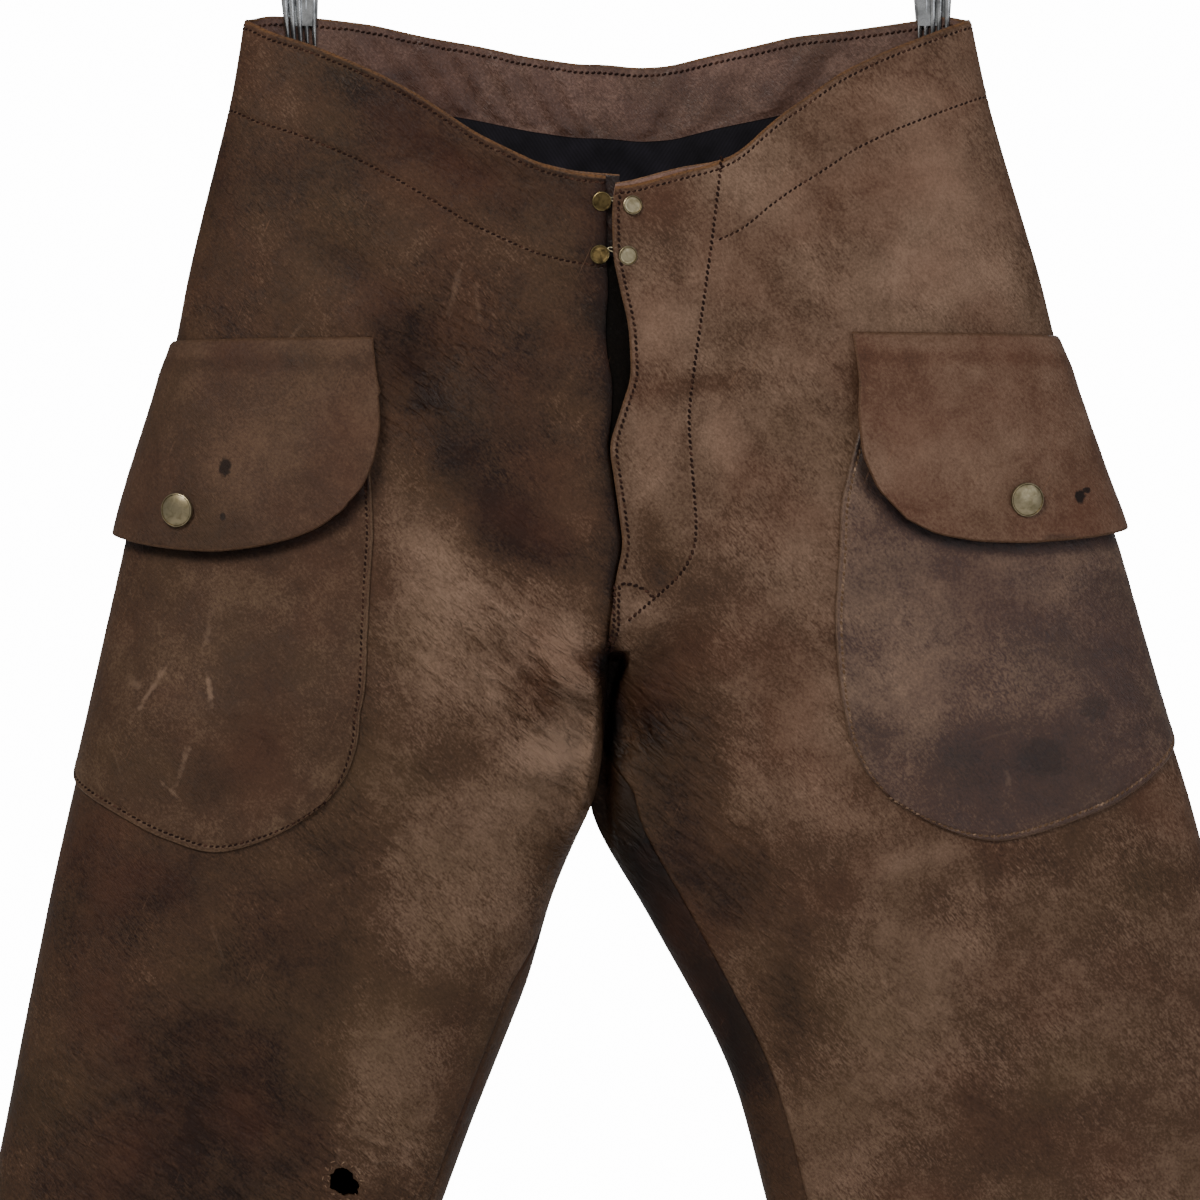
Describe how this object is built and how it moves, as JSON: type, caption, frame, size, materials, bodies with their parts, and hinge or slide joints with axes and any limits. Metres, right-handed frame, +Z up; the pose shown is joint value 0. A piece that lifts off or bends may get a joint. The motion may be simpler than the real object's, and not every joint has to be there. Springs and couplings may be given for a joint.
{
  "type": "leather trousers on a clip hanger",
  "caption": "Distressed brown leather trousers with patch pockets and snapped flaps, a hook-and-bar fly and open legs, hanging from a steel clip hanger",
  "frame": {"origin": "the place inside the hanger's hook where a rail carries it", "axes": "+Z up along the hanging trousers, -Y the way the trousers' front faces, -X the wearer's right side"},
  "size_m": [0.8782, 0.1179, 1.2441],
  "materials": {
    "oiled_leather": "waxy, cloudy mottled brown, low sheen",
    "pocket_leather": "the same leather, a little darker and smoother",
    "facing_leather": "smooth inner side, wrinkled",
    "lining_cloth": "dull black cotton",
    "antique_brass": "worn antique brass",
    "clip_steel": "shiny steel wire"
  },
  "bodies": {
    "root": {"front_right": "oiled_leather", "facing_front_right": "facing_leather", "back_right": "oiled_leather", "facing_back_right": "facing_leather", "front_left": "oiled_leather", "facing_front_left": "facing_leather", "back_left": "oiled_leather", "facing_back_left": "facing_leather", "lining_back_right": "lining_cloth", "lining_back_left": "lining_cloth", "fly_underlap": "facing_leather", "pocket_right": "pocket_leather", "pocket_flap_right": "pocket_leather", "snap_right": "antique_brass", "hook_cap_upper_right": "antique_brass", "hook_cap_lower_right": "antique_brass", "clip_right": "clip_steel", "pocket_left": "pocket_leather", "pocket_flap_left": "pocket_leather", "snap_left": "antique_brass", "hook_cap_upper_left": "antique_brass", "hook_cap_lower_left": "antique_brass", "clip_left": "clip_steel", "hanger_bar": "clip_steel", "hanger_hook": "clip_steel"}
  },
  "joints": []
}
